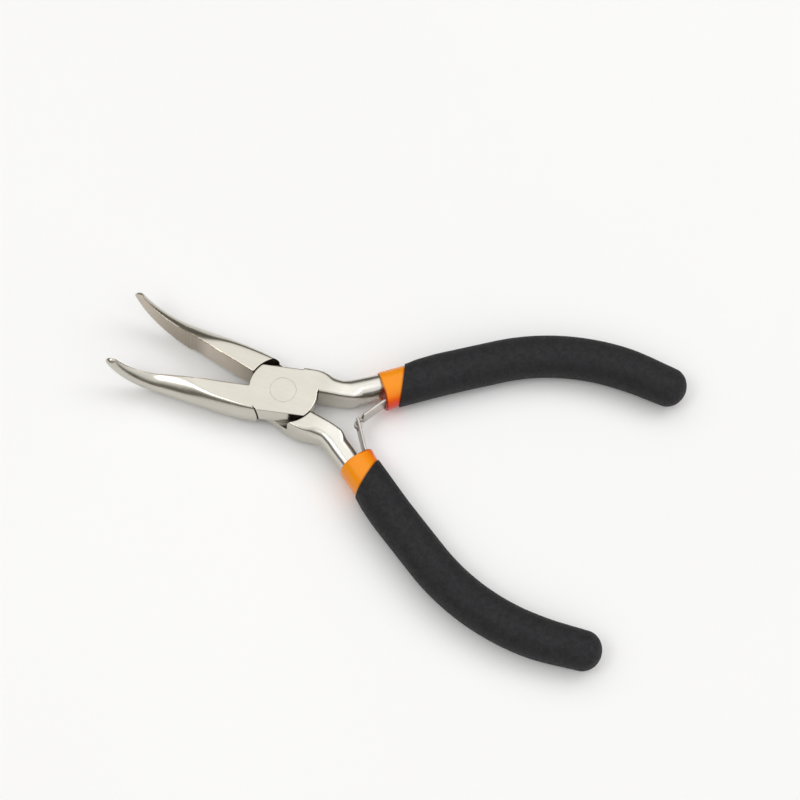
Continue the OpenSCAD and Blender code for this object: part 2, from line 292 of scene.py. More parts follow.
def combine(obj, tools, operation):
    """obj united with, cut by or limited to the tools, which are then removed."""
    for tool in tools:
        modifier = obj.modifiers.new("combine", "BOOLEAN")
        modifier.operation = operation
        modifier.solver = "EXACT"
        modifier.object = tool
        apply_modifiers(obj)
    for tool in tools:
        bpy.data.objects.remove(tool)
    return obj


def soften(obj, voxel, passes):
    """Rebuilds obj as an even grid of small faces and rounds off its edges."""
    remesh = obj.modifiers.new("grid", "REMESH")
    remesh.mode = "VOXEL"
    remesh.voxel_size = voxel
    smooth = obj.modifiers.new("round", "SMOOTH")
    smooth.factor = 0.5
    smooth.iterations = passes
    return apply_modifiers(obj)


def thin_out(obj, hidden, ratio):
    """Fewer faces where hidden(point) says that other pieces cover the surface."""
    group = obj.vertex_groups.new(name="hidden")
    group.add([v.index for v in obj.data.vertices if hidden(v.co)], 1.0, "REPLACE")
    decimate = obj.modifiers.new("thin", "DECIMATE")
    decimate.ratio = ratio
    decimate.vertex_group = group.name
    apply_modifiers(obj)
    obj.vertex_groups.clear()
    return obj


def place(obj, side):
    obj.data.transform(placing(side))
    if side == 1:
        obj.data.flip_normals()
    return obj


def finish_piece(obj, material, crease):
    """Real size, finish, and smooth shading except at edges sharper than crease degrees."""
    obj.data.transform(Matrix.Scale(MM, 4))
    for polygon in obj.data.polygons:
        polygon.use_smooth = True
    obj.data.set_sharp_from_angle(angle=math.radians(crease))
    obj.data.materials.clear()
    obj.data.materials.append(material)
    return obj


# ---- Nose -----------------------------------------------------------------------------

def nose_bend(s):
    return min(max((s - NOSE_STRAIGHT) / BEND_LEN, 0), 1) * BEND_ANGLE


def nose_middle(s):
    """x and z of the middle line of the nose at distance s from the pivot."""
    b = nose_bend(s)
    past = max(s - NOSE_STRAIGHT - BEND_LEN, 0)
    x = -min(s, NOSE_STRAIGHT) - BEND_R * math.sin(b) - past * math.cos(BEND_ANGLE)
    z = MID_Z - NOSE_SAG * rising(s, 17, 12) + BEND_R * (1 - math.cos(b))
    return x, z + past * math.sin(BEND_ANGLE)


def nose_point(s, y, z):
    """Point at distance s, y away from the gripping face and z above the middle line."""
    b = nose_bend(s)
    x0, z0 = nose_middle(s)
    return x0 + z * math.sin(b), -FACE_GAP - y, z0 + z * math.cos(b)


def flattened(z):
    """Height z of the round top, ground down to the joint's face with a soft shoulder."""
    return z / (1 + (z / MID_Z) ** FLAT_SHARPNESS) ** (1 / FLAT_SHARPNESS)


def jaw_ring(s, shrink):
    """D-shaped ring: flat gripping face, round back, cut by the flats above and below.
    Towards the tip the back leans out already where it leaves the gripping face."""
    width = along(JAW_WIDTH, s) * shrink
    rise = along(JAW_RISE, s) * shrink
    depth = along(JAW_DEPTH, s) * shrink
    bottom = MID_Z + NOSE_DEEP * rising(s, 8, 3)
    low = math.asin(min(1, bottom / depth))
    lean = NOSE_LEAN * rising(s, 15, 8)
    full = width / (1 - math.sin(lean))
    face = np.linspace(flattened(rise), -depth * math.sin(low), 9)[:-1]
    ring = [nose_point(s, 0, z) for z in face]
    for a in np.linspace(-low, 0, 20, endpoint=False):
        ring.append(nose_point(s, width * math.cos(a), depth * math.sin(a)))
    for a in np.linspace(0, math.pi / 2 - lean, 40, endpoint=False):
        z = rise * math.sin(a) / math.cos(lean)
        ring.append(nose_point(s, full * (math.cos(a) - math.sin(lean)), flattened(z)))
    return ring


def jaw():
    """The nose with a rounded tip, from inside the joint onwards."""
    body = [(s, 1.0) for s in np.arange(4, JAW_LEN - TIP_LEN, 0.35)]
    end = [(JAW_LEN - TIP_LEN * (1 - math.sin(a)), math.cos(a))
           for a in np.linspace(0, math.radians(82), 7)]
    return loft("jaw", [jaw_ring(s, k) for s, k in body + end])


def teeth():
    """Bars that cut V grooves across the gripping face, square to the nose."""
    low, high, back = -6, 5, 0.5
    section = ((-TOOTH_DEPTH, 0), (0, TOOTH_DEPTH), (TOOTH_DEPTH, 0), (0, -back))
    points, faces = [], []
    count = int((JAW_LEN - TIP_LEN - TEETH_FROM) / TOOTH_PITCH)
    for i in range(count):
        s = TEETH_FROM + i * TOOTH_PITCH
        b = nose_bend(s)
        a = len(points)
        for z in (low, high):
            for ds, dy in section:
                x, y, h = nose_point(s, dy, z)
                points.append((x - ds * math.cos(b), y, h + ds * math.sin(b)))
        faces += [(a, a + 1, a + 2, a + 3), (a + 4, a + 7, a + 6, a + 5)]
        faces += [(a + k, a + 4 + k, a + 4 + (k + 1) % 4, a + (k + 1) % 4) for k in range(4)]
    return mesh_object("teeth", points, faces)


# ---- Handles --------------------------------------------------------------------------

def heading(s):
    turn = min(max((s - HANDLE_STRAIGHT) / ARC_LEN, 0), 1) * (HANDLE_SLOPE + END_SLOPE)
    return HANDLE_SLOPE - turn


def handle_point(s):
    h = heading(s)
    start = min(s, HANDLE_STRAIGHT)
    past = max(s - HANDLE_STRAIGHT - ARC_LEN, 0)
    point = NECK + start * np.array([math.cos(HANDLE_SLOPE), math.sin(HANDLE_SLOPE)])
    point = point + HANDLE_R * np.array([math.sin(HANDLE_SLOPE) - math.sin(h),
                                         math.cos(h) - math.cos(HANDLE_SLOPE)])
    return point + past * np.array([math.cos(END_SLOPE), -math.sin(END_SLOPE)])


def handle_ring(s, w_in, w_out, height, sq_in, sq_out, slope, sides):
    """Ring across the handle, in a plane at the given slope; the two half-widths and
    squarenesses are for the side towards the other handle and the side away from it."""
    cx, cy = handle_point(s)
    ring = []
    for k in range(sides):
        a = 2 * math.pi * k / sides
        outer = math.cos(a) > 0
        square = sq_out if outer else sq_in
        v = signed_power(math.cos(a), 2 / square) * (w_out if outer else w_in)
        z = signed_power(math.sin(a), 2 / square) * height
        ring.append((cx - v * math.sin(slope), cy + v * math.cos(slope), MID_Z + z))
    return ring


def in_grip(s):
    """0 where the handle steel goes into the grip, 1 where it has got thin."""
    return rising(s, 20, 40)


def core_height(s):
    """Half thickness of the steel, which gets thinner towards the sleeve and in the grip."""
    return MID_Z - 0.8 * rising(s, -5, 13) - 0.9 * in_grip(s)


def core_in(s):
    return CORE_IN + 0.3 * (1 - rising(s, 5, 4)) - 0.3 * in_grip(s)


def core_out(s):
    return CORE_OUT + 0.5 * (1 - rising(s, 8.5, 4)) - 0.4 * in_grip(s)


def core_ring(s, slope):
    """Ring round the handle steel, nearly square on the inner side at first, then oval."""
    sq_in = 9 - 6.3 * rising(s, 1, 2.5)
    return handle_ring(s, core_in(s), core_out(s), core_height(s), sq_in, 2.9, slope, CORE_SIDES)


def neck_ring(x):
    """Ring square to +X: straight on the inner side, rounder and rounder on the outer."""
    y_in, y_out = along(NECK_IN, x, reach=0.8), along(NECK_OUT, x, reach=0.8)
    y, w = (y_in + y_out) / 2, (y_out - y_in) / 2
    ring = []
    for k in range(CORE_SIDES):
        a = 2 * math.pi * k / CORE_SIDES
        square = 14 - 11.1 * rising(x, 6, 5) if math.cos(a) > 0 else 9
        ring.append((x, y + signed_power(math.cos(a), 2 / square) * w,
                     MID_Z + signed_power(math.sin(a), 2 / square) * core_height(x - NECK[0])))
    return ring


def handle_steel():
    """Neck and handle in one loft; between them the rings turn to the handle's slope."""
    rings = [neck_ring(x) for x in np.arange(4, 13.01, 0.5)]
    rings += [core_ring(s, HANDLE_SLOPE * rising(s, -1.2, 5.2)) for s in np.arange(1.4, 4, 0.4)]
    rings += [core_ring(s, heading(s)) for s in np.arange(4, CORE_END, 0.8)]
    return loft("handle", rings)


# ---- Forged halves --------------------------------------------------------------------

def band():
    """The joint's round body: flat above and below, with gently rounded sides."""
    spare = 1
    cut = math.asin(MID_Z / SIDE_BULGE)
    section = [(way * BAND_HALF * math.cos(a), MID_Z + way * SIDE_BULGE * math.sin(a))
               for way in (1, -1) for a in np.linspace(-cut, cut, 17)]
    prism = loft("band", [[(x, y, z) for y, z in section]
                          for x in (-LAP_R - spare, LAP_R + spare)])
    return combine(prism, [cylinder("disc", LAP_R, 0, JOINT_T)], "INTERSECT")


def rivet_room():
    """Conical seats and straight hole for the pivot rivet."""
    over = 0.5
    shank, head = RIVET_R - 0.75, 0.8
    return lathe("rivet_room", [
        (0, -over), (RIVET_R + over, -over), (RIVET_R, 0), (shank, head),
        (shank, JOINT_T - head), (RIVET_R, JOINT_T), (RIVET_R + over, JOINT_T + over),
        (0, JOINT_T + over)])


def hook_room():
    """Pocket in the right neck for the left leaf's rolled end when the tool is shut."""
    d = leaf_direction(0)
    x, y = leaf_root() + d * (LEAF_LEN + HOOK_PAST) + quarter_turned(d) * HOOK_R
    radius = HOOK_R + LEAF_T / 2 + HOOK_CLEAR
    ends = [(radius * math.sin(a), TONGUE_W / 2 + HOOK_CLEAR + HOOK_ROOM_END * math.cos(a))
            for a in np.linspace(0, math.pi / 2, 12)]
    room = lathe("hook_room", [(r, -z) for r, z in ends] + ends[::-1])
    room.data.transform(Matrix.Translation((x, -y, MID_Z)))
    return room


def forging(side):
    """Jaw, lap, shoulder, neck and handle steel in one. The left half keeps its upper lap
    and makes room for the other half's lap below, the right half the other way round."""
    over = 1.5
    steel = band()
    turned_jaw, bars = jaw(), teeth()
    for part in (turned_jaw, bars):
        part.data.transform(rotation_z(-JAW_SKEW if side == 0 else JAW_SKEW))
    combine(steel, [turned_jaw, handle_steel()], "UNION")
    if side == 0:
        room = cylinder("room", LAP_R + SHOULDER_GAP, -over, MID_Z + LAP_GAP)
    else:
        room = cylinder("room", LAP_R + SHOULDER_GAP, MID_Z - LAP_GAP, JOINT_T + over)
        combine(steel, [hook_room()], "DIFFERENCE")
    combine(steel, [room, bars], "DIFFERENCE")
    soften(steel, FORGING_GRID, passes=3)
    covered = handle_point(SLEEVE_START + 1.5)[0]
    thin_out(steel, lambda p: p.x > covered, ratio=0.55)
    combine(steel, [rivet_room()], "DIFFERENCE")
    return place(steel, side)


def pivot_rivet():
    """Rivet with flat flush heads and rounded rims; half and face are its upper half."""
    shank, head, rim = RIVET_R - 0.8, 0.75, 0.05
    half = [(shank, 0), (shank, MID_Z - head - 0.1), (RIVET_R - rim - 0.06, MID_Z - rim * 1.5),
            (RIVET_R - rim * 0.7, MID_Z - rim * 0.6), (RIVET_R - rim * 1.3, MID_Z - 0.01)]
    face = [(RIVET_R * k, MID_Z) for k in (0.9, 0.6, 0.3, 0.05)]
    upper = half + face
    profile = [(r, MID_Z - z) for r, z in reversed(upper)]
    profile += [(r, MID_Z + z) for r, z in upper[1:]]
    return lathe("pivot_rivet_head", [(0, 0)] + profile + [(0, JOINT_T)])


# ---- Plastic --------------------------------------------------------------------------

def plane_slope(s):
    """Slope of the ring plane: square to the handle at the sleeve's mouth, square to the
    tool where the grip starts, and back to the handle's own slope behind it."""
    if s < GRIP_START:
        return HANDLE_SLOPE * (1 - rising(s, SLEEVE_START, GRIP_START - SLEEVE_START))
    return heading(s) * rising(s, GRIP_START, GRIP_SETTLED)


def skin_ring(s, w_in, w_out, height):
    """Ring of the outer skin; k makes up for its plane not being square to the handle."""
    k = math.cos(heading(s) - plane_slope(s))
    return handle_ring(s, w_in / k, w_out / k, height, SKIN_SQUARE, SKIN_SQUARE,
                       plane_slope(s), SKIN_SIDES)


def bore_ring(s, room):
    """Ring of the inner wall, round the handle steel, in the same plane as the skin."""
    k = math.cos(heading(s) - plane_slope(s))
    w_in, w_out = (core_in(s) + room) / k, (core_out(s) + room) / k
    return handle_ring(s, w_in, w_out, core_height(s) + room, 4, 3.2, plane_slope(s), SKIN_SIDES)


def between(ring_a, ring_b, u):
    return [tuple(np.array(a) * (1 - u) + np.array(b) * u) for a, b in zip(ring_a, ring_b)]


def on_sleeve(ends, s):
    """Value at s between those at the sleeve's mouth and at the grip's edge."""
    return ends[0] + (ends[1] - ends[0]) * (s - SLEEVE_START) / (GRIP_START - SLEEVE_START)


def sleeve_out(s):
    return on_sleeve(SLEEVE_OUT, s)


def sleeve_in(s):
    """The inner side is drawn out over the leaf's foot, most of all at the lip."""
    return on_sleeve(SLEEVE_IN, s)


def sleeve(side):
    """Dipped sleeve: a wall from the mouth's rolled rim to under the grip, and back inside."""
    step = 0.02
    rings = []
    for a in np.linspace(0, math.pi / 2, 8):
        s = SLEEVE_START + SLEEVE_RIM * (1 - math.sin(a))
        inset = SLEEVE_RIM * (1 - math.cos(a))
        w_in, w_out = sleeve_in(s) - inset, sleeve_out(s) - inset * 0.8
        rings.append(skin_ring(s, w_in, w_out, SLEEVE_HIGH - inset))
    rings.reverse()
    for s in np.arange(SLEEVE_START + SLEEVE_RIM + 0.3, GRIP_START - step, 0.3):
        rings.append(skin_ring(s, sleeve_in(s), sleeve_out(s), SLEEVE_HIGH))
    rings.append(skin_ring(GRIP_START + step, *TUCKED[0]))
    for s in np.arange(GRIP_START + 0.5, SLEEVE_END, 0.5):
        rings.append(skin_ring(s, *TUCKED[1]))
    rings.append(skin_ring(SLEEVE_END, *TUCKED[2]))
    for s in np.arange(SLEEVE_END, SLEEVE_START - 0.2, -0.5):
        rings.append(bore_ring(s, SLEEVE_ROOM))
    shell = loft("sleeve", rings, joined=True)
    return place(combine(shell, [foot_room()], "DIFFERENCE"), side)


GRIP_BACK = [(GRIP_SETTLED, GRIP_HALF), (52, GRIP_HALF), (60, GRIP_HALF - 0.25),
             (66, GRIP_HALF - 0.4)]


def grip_in(s):
    front = [(0, sleeve_in(GRIP_START) + GRIP_LIP)]
    return along(front + GRIP_BACK, s - GRIP_START, reach=2)


def grip_out(s):
    front = [(0, sleeve_out(GRIP_START) + GRIP_LIP), (2.5, 4.35)]
    return along(front + GRIP_BACK, s - GRIP_START)


def grip_ring(s, k=1.0, inset=0.0):
    w_in, w_out = grip_in(s) * k - inset, grip_out(s) * k - inset
    return skin_ring(s, w_in, w_out, (w_in + w_out) / 2)


def grip(side):
    """Dipped grip: rounded front edge over the sleeve, blind bore for sleeve and steel."""
    tip = bore_ring(CORE_END + 0.15, GRIP_ROOM)
    centre = tuple(np.mean(np.array(tip), axis=0))
    rings = [between(tip, [centre] * SKIN_SIDES, 0.9)]
    for s in np.arange(CORE_END + 0.1, SLEEVE_END + 4.3, -1.0):
        rings.append(bore_ring(s, GRIP_ROOM))
    for s in (SLEEVE_END + 4.2, SLEEVE_END + 0.1):
        rings.append(skin_ring(s, *GRIP_BORE))
    for s in (SLEEVE_END + 0.05, GRIP_START + 2, GRIP_START + GRIP_EDGE):
        rings.append(skin_ring(s, *TUCKED_BORE))
    for a in np.linspace(0, math.pi / 2, 5):
        inset = GRIP_EDGE * (1 - math.sin(a))
        rings.append(grip_ring(GRIP_START + inset, inset=inset))
    for s in np.arange(GRIP_START + GRIP_EDGE + 0.3, HANDLE_LEN - GRIP_ROUND, 0.6):
        rings.append(grip_ring(s))
    for a in np.linspace(0, math.radians(86), 14):
        rings.append(grip_ring(HANDLE_LEN - GRIP_ROUND * (1 - math.sin(a)), k=math.cos(a)))
    return place(loft("grip", rings), side)


# ---- Leaf springs ---------------------------------------------------------------------

def leaf_root():
    """The leaf's root on the left half with the jaws shut."""
    x, y, _ = LEAF_ROOT_OPEN
    along_x = unit_vector(-HALF_OPEN)
    return x * along_x + y * quarter_turned(along_x)


def leaf_direction(opened):
    """The blade's direction on the left half, with the jaws open by so many degrees."""
    return unit_vector(180 + LEAF_SHUT + LEAF_RATIO * opened)


def smooth_path(points, rounds):
    """Corner cutting: a smooth line that keeps its two ends."""
    for _ in range(rounds):
        cut = [points[0]]
        for a, b in zip(points[:-1], points[1:]):
            cut += [a * 0.75 + b * 0.25, a * 0.25 + b * 0.75]
        points = cut + [points[-1]]
    return points


def strip(name, points, thickness, width):
    """Flat strip with rounded edges, swept along a line of [x, y] points in the tool's
    plane. width is a number, or a function of the distance along the line."""
    rings = []
    distance = 0.0
    for i, p in enumerate(points):
        a, b = points[max(i - 1, 0)], points[min(i + 1, len(points) - 1)]
        n = quarter_turned((b - a) / np.linalg.norm(b - a))
        if i:
            distance += float(np.linalg.norm(p - points[i - 1]))
        half = (width(distance) if callable(width) else width) / 2
        ring = []
        for sx, sz in ((1, 1), (-1, 1), (-1, -1), (1, -1)):
            for k in range(4):
                turn = math.radians(k * 30)
                if sx * sz > 0:
                    turn = math.radians(90) - turn
                d = sx * (thickness / 2 - LEAF_CORNER * (1 - math.sin(turn)))
                z = sz * (half - LEAF_CORNER * (1 - math.cos(turn)))
                ring.append((p[0] + n[0] * d, p[1] + n[1] * d, MID_Z + z))
        rings.append(ring)
    return loft(name, rings)


def foot_line():
    """Line of the foot: from the leaf's root, into the sleeve, along the handle steel."""
    def on_steel(s):
        inwards = -quarter_turned(unit_vector(math.degrees(heading(s))))
        return handle_point(s) + (CORE_IN + FOOT_GAP + LEAF_T / 2) * inwards

    bends = [np.array(bend) for bend in FOOT_BENDS]
    return [leaf_root() + FOOT_START] + bends + [on_steel(s) for s in FOOT_FLAT]


def foot_room():
    """Pocket in the sleeve for the leaf's foot, open at the sleeve's mouth."""
    line = foot_line()
    outside = line[0] + (line[0] - line[1])
    return strip("foot_room", [outside] + line, LEAF_T + FOOT_ROOM, LEAF_W + FOOT_ROOM)


def leaf_spring(side):
    """One bent strip: end, blade, and foot. The left end is a narrow tongue, rolled back
    through the slot of the right one. The right end is a fork with its prongs turned up."""
    d = leaf_direction(2 * HALF_OPEN)
    root = leaf_root()
    rolled, way, past = LEAF_ENDS[side]
    last = LEAF_LEN + past
    roll = []
    for a in np.radians(np.linspace(rolled, 0, 21)):
        bent = quarter_turned(d) * way * HOOK_R * (1 - math.cos(a))
        roll.append(root + d * (last + HOOK_R * math.sin(a)) + bent)
    blade = [root + d * x for x in (last - 0.6, last - 1.2, 5.0, 3.0, 1.5, 0.8)]
    line = roll + smooth_path(blade + [root] + foot_line()[1:], 3)
    tongue_len = HOOK_R * math.radians(rolled) + TONGUE_LEN

    def tongue(distance):
        return TONGUE_W + (LEAF_W - TONGUE_W) * rising(distance, tongue_len, TONGUE_TAPER)

    piece = strip("leaf_spring", line, LEAF_T, tongue if side == 0 else LEAF_W)
    if side == 1:
        slot = strip("slot", [root + d * SLOT_FROM, root + d * SLOT_TO], 4.0, SLOT_W)
        combine(piece, [slot], "DIFFERENCE")
    return place(piece, side)


# ---- Materials ------------------------------------------------------------------------

class Nodes:
    """Short way to add nodes to a node tree and link them."""

    def __init__(self, tree, coordinates):
        self.tree = tree
        self.place = self.add("ShaderNodeTexCoord").outputs[coordinates]

    def add(self, kind, **values):
        node = self.tree.nodes.new(kind)
        for key, value in values.items():
            setattr(node, key, value)
        return node

    def link(self, source, target):
        self.tree.links.new(source, target)

    def axes(self):
        """x, y and z of the place."""
        node = self.add("ShaderNodeSeparateXYZ")
        self.link(self.place, node.inputs["Vector"])
        return node.outputs

    def stretched(self, scale):
        node = self.add("ShaderNodeMapping")
        node.inputs["Scale"].default_value = scale
        self.link(self.place, node.inputs["Vector"])
        return node.outputs["Vector"]

    def noise(self, vector, scale, detail, roughness=0.55):
        node = self.add("ShaderNodeTexNoise")
        node.inputs["Scale"].default_value = scale
        node.inputs["Detail"].default_value = detail
        node.inputs["Roughness"].default_value = roughness
        self.link(vector, node.inputs["Vector"])
        return node.outputs["Fac"]

    def ramp(self, value, stops):
        node = self.add("ShaderNodeValToRGB")
        ramp = node.color_ramp
        while len(ramp.elements) < len(stops):
            ramp.elements.new(0.5)
        for element, (at, colour) in zip(ramp.elements, stops):
            element.position = at
            element.color = (*colour, 1.0)
        self.link(value, node.inputs["Fac"])
        return node.outputs["Color"]

    def range(self, value, low, high, start=0.0, stop=1.0):
        """low where value is at start, high where it is at stop, and held beyond."""
        node = self.add("ShaderNodeMapRange")
        node.inputs["From Min"].default_value = start
        node.inputs["From Max"].default_value = stop
        node.inputs["To Min"].default_value = low
        node.inputs["To Max"].default_value = high
        self.link(value, node.inputs["Value"])
        return node.outputs["Result"]

    def maths(self, operation, *values):
        node = self.add("ShaderNodeMath", operation=operation)
        for socket, value in zip(node.inputs, values):
            if isinstance(value, (int, float)):
                socket.default_value = value
            else:
                self.link(value, socket)
        return node.outputs["Value"]

    def mixed(self, amount, source, colour):
        node = self.add("ShaderNodeMix", data_type="RGBA")
        self.link(amount, node.inputs["Factor"])
        self.link(source, node.inputs[6])
        node.inputs[7].default_value = (*colour, 1.0)
        return node.outputs[2]

    def bump(self, height, distance, strength):
        node = self.add("ShaderNodeBump")
        node.inputs["Strength"].default_value = strength
        node.inputs["Distance"].default_value = distance
        self.link(height, node.inputs["Height"])
        return node.outputs["Normal"]


class Surface(Nodes):
    """A new material, whose values are set or wired by the names of the shader's sockets."""

    def __init__(self, name):
        self.material = bpy.data.materials.new(name)
        self.material.use_nodes = True
        super().__init__(self.material.node_tree, "Object")
        self.shader = self.tree.nodes["Principled BSDF"]

    def set(self, **values):
        for key, value in values.items():
            self.shader.inputs[key.replace("_", " ")].default_value = value

    def wire(self, **sources):
        for key, source in sources.items():
            self.link(source, self.shader.inputs[key.replace("_", " ")])


def joint_shade_and_oil(m):
    """1 where shade is painted into the joint, with oil and grit: on the shoulders' walls and the lap's faces."""
    flat = m.add("ShaderNodeVectorMath", operation="MULTIPLY")
    flat.inputs[1].default_value = (1, 1, 0)
    m.link(m.place, flat.inputs[0])
    radius = m.add("ShaderNodeVectorMath", operation="LENGTH")
    m.link(flat.outputs["Vector"], radius.inputs[0])

    def near(value, centre, half, fade):
        """1 within half of the centre, fading to 0 just outside."""
        away = m.maths("ABSOLUTE", m.maths("SUBTRACT", value, centre))
        return m.range(away, 1.0, 0.0, half, half + fade)

    reach, height = radius.outputs["Value"], m.axes()["Z"]
    wall_r = (LAP_R + SHOULDER_GAP) * MM
    wall = m.maths("MULTIPLY", near(reach, wall_r, 0.10 * MM, 0.06 * MM),
                   near(height, JOINT_T * MM, (MID_Z + 0.1) * MM, 0.1 * MM))
    step = m.maths("MULTIPLY", near(height, MID_Z * MM, 0.10 * MM, 0.06 * MM),
                   m.range(reach, 0.0, 1.0, wall_r - 2.0 * MM, wall_r - 0.6 * MM))
    step = m.maths("MULTIPLY", step, m.range(reach, 1.0, 0.0, wall_r, wall_r + 0.1 * MM))
    top = near(height, JOINT_T * MM, 0.02 * MM, 0.05 * MM)
    return m.maths("MULTIPLY", m.maths("MAXIMUM", wall, step), m.range(top, 1.0, 0.0))


def gripping_face(m, x, y):
    """1 on the faces that meet when the jaws shut, in the grooves of the teeth too."""
    level = m.maths("ADD", y, m.maths("MULTIPLY", x, math.tan(JAW_SKEW)))
    half = math.radians(HALF_OPEN)
    depth = m.maths("ADD", m.maths("MULTIPLY", m.maths("ABSOLUTE", level), math.cos(half)),
                    m.maths("MULTIPLY", x, math.sin(half)))
    return m.maths("MULTIPLY", m.range(depth, 1.0, 0.0, 0.24 * MM, 0.36 * MM),
                   m.range(x, 1.0, 0.0, -9 * MM, -8 * MM))


def nickel():
    """Satin nickel plate over a ground forging: warm, with fine lines along the tool, a
    painted highlight on top of the necks, browner on the gripping faces and darker in the
    teeth as painted shade of their grooves, and painted shade with oil inside the joint."""
    m = Surface("satin_nickel")
    m.set(Metallic=1.0)
    cloud = m.noise(m.place, 90, 3)
    lines = m.noise(m.stretched((60, 900, 900)), 1.0, 3, 0.6)
    plate = m.ramp(cloud, [(0.3, (0.545, 0.520, 0.458)), (0.7, (0.585, 0.560, 0.498))])
    x, y, z = m.axes()
    # Painted highlight: the base colour is made lighter on top of the necks.
    painted_top_highlight = m.maths("MULTIPLY", m.range(x, 0.0, 1.0, 8.5 * MM, 12.5 * MM),
                     m.range(z, 0.0, 1.0, (MID_Z + 1.2) * MM, (MID_Z + 2.2) * MM))
    plate = m.mixed(painted_top_highlight, plate, (0.645, 0.625, 0.575))
    face = gripping_face(m, x, y)
    # Painted shade: the gripping face is made darker where the teeth's grooves are.
    teeth_shade = m.maths("MULTIPLY", m.range(x, 1.0, 0.0, -22.5 * MM, -19.5 * MM),
                      m.range(x, 0.35, 1.0, -36 * MM, -25 * MM))
    plate = m.mixed(face, plate, (0.620, 0.550, 0.465))
    plate = m.mixed(m.maths("MULTIPLY", face, teeth_shade), plate, (0.370, 0.316, 0.250))
    # Painted shade, with oil: a dark base colour in the joint's gaps and on the shoulders' walls.
    oil_and_shade = joint_shade_and_oil(m)
    m.wire(Base_Color=m.mixed(oil_and_shade, plate, (0.040, 0.028, 0.020)),
           Roughness=m.maths("MAXIMUM", m.range(lines, 0.20, 0.28, 0.3, 0.7),
                             m.range(oil_and_shade, 0.0, 0.55)),
           Normal=m.bump(lines, 0.00001, 0.35))
    return m.material


def spring_plate():
    """Dull plated spring strip, a little darker than the forgings, with painted shade round the hook."""
    m = Surface("spring_strip")
    m.set(Metallic=1.0)
    cloud = m.noise(m.place, 300, 3)
    grain = m.noise(m.stretched((200, 200, 2600)), 1.0, 2)
    # Painted shade: the strip is made dark round the hook, where the two leaves interlock.
    hook = m.add("ShaderNodeVectorMath", operation="DISTANCE")
    hook.inputs[1].default_value = HOOK_SHADE * MM
    m.link(m.place, hook.inputs[0])
    ragged = m.range(cloud, -0.5 * MM, 0.5 * MM, 0.3, 0.7)
    away = m.maths("ADD", hook.outputs["Value"], ragged)
    hook_shade_mask = m.range(away, 0.85, 0.0, 0.7 * MM, 1.6 * MM)
    plate = m.ramp(cloud, [(0.3, (0.50, 0.47, 0.43)), (0.7, (0.60, 0.565, 0.525))])
    m.wire(Base_Color=m.mixed(hook_shade_mask, plate, (0.075, 0.055, 0.042)),
           Roughness=m.range(grain, 0.30, 0.44),
           Normal=m.bump(grain, 0.00001, 0.3))
    return m.material


def orange_dip():
    """Glossy dipped plastic with painted shade: redder on the inner underside, as shade with
    red bounce light, dark red at the mouth's inner rim, and dark where it meets the grip's edge."""
    m = Surface("orange_dip")
    m.set(IOR=1.42, Specular_IOR_Level=0.35, Coat_Weight=0.05, Coat_Roughness=0.12)
    x, y, z = m.axes()
    y = m.maths("ABSOLUTE", y)

    def along_line(angle):
        """Distance from the pivot along a line at this angle in degrees from +X."""
        line_x, line_y = unit_vector(angle)
        return m.maths("ADD", m.maths("MULTIPLY", x, line_x), m.maths("MULTIPLY", y, line_y))

    slope = math.degrees(HANDLE_SLOPE)
    forward = along_line(HALF_OPEN)
    lengthwise = along_line(HALF_OPEN + slope)
    across = along_line(HALF_OPEN + slope + 90)
    edge = handle_point(GRIP_START)[0] * MM
    mouth = (NECK @ unit_vector(slope) + SLEEVE_START) * MM
    middle = NECK @ unit_vector(slope + 90) * MM
    # Painted shade with red bounce light: the skin is made redder on the inner underside.
    inner = m.range(across, 1.0, 0.0, middle - 4.5 * MM, middle - 0.5 * MM)
    under = m.range(z, 1.0, 0.0, 4.2 * MM, 7.9 * MM)
    # Painted shade: the mouth's inner rim is made dark red.
    rim = m.maths("MULTIPLY", m.range(lengthwise, 1.0, 0.0, mouth + 0.15 * MM, mouth + 0.5 * MM),
                  m.range(across, 1.0, 0.0, middle - 2.6 * MM, middle - 1.2 * MM))
    ragged = m.range(m.noise(m.place, 170, 2), -0.06, 0.06)
    red = m.maths("ADD", m.maths("MULTIPLY", inner, under), ragged)
    waves = m.noise(m.place, 420, 3)
    skin = m.ramp(red, [(0.0, (0.95, 0.300, 0.004)), (0.30, (0.94, 0.200, 0.003)),
                        (0.60, (0.86, 0.070, 0.003)), (1.0, (0.72, 0.028, 0.003))])
    skin = m.mixed(rim, skin, (0.36, 0.016, 0.004))
    # Painted shade: the sleeve is made dark where it meets the grip's edge.
    edge_shade = m.range(forward, 0.0, 0.75, edge - 0.45 * MM, edge)
    m.wire(Base_Color=m.mixed(edge_shade, skin, (0.16, 0.02, 0.01)),
           Roughness=m.range(waves, 0.20, 0.30),
           Normal=m.bump(waves, 0.00003, 0.4))
    return m.material


def black_dip():
    """Matte dipped plastic with a fine pebbled skin."""
    m = Surface("black_dip")
    m.set(IOR=1.45, Specular_IOR_Level=0.3)
    pebbles = m.noise(m.place, 1500, 3, 0.65)
    specks = m.noise(m.place, 700, 4, 0.7)
    skin = m.ramp(specks, [(0.35, (0.013, 0.013, 0.0145)), (0.65, (0.022, 0.022, 0.0245))])
    m.wire(Base_Color=skin,
           Roughness=m.range(pebbles, 0.55, 0.80, 0.3, 0.7),
           Normal=m.bump(pebbles, 0.00014, 0.9))
    return m.material


# ---- The object -----------------------------------------------------------------------

NICKEL, SPRING, ORANGE, BLACK = nickel(), spring_plate(), orange_dip(), black_dip()
SIDES = ("left", "right")
JAW_NODES = ("lower_jaw_half", "upper_jaw_half")


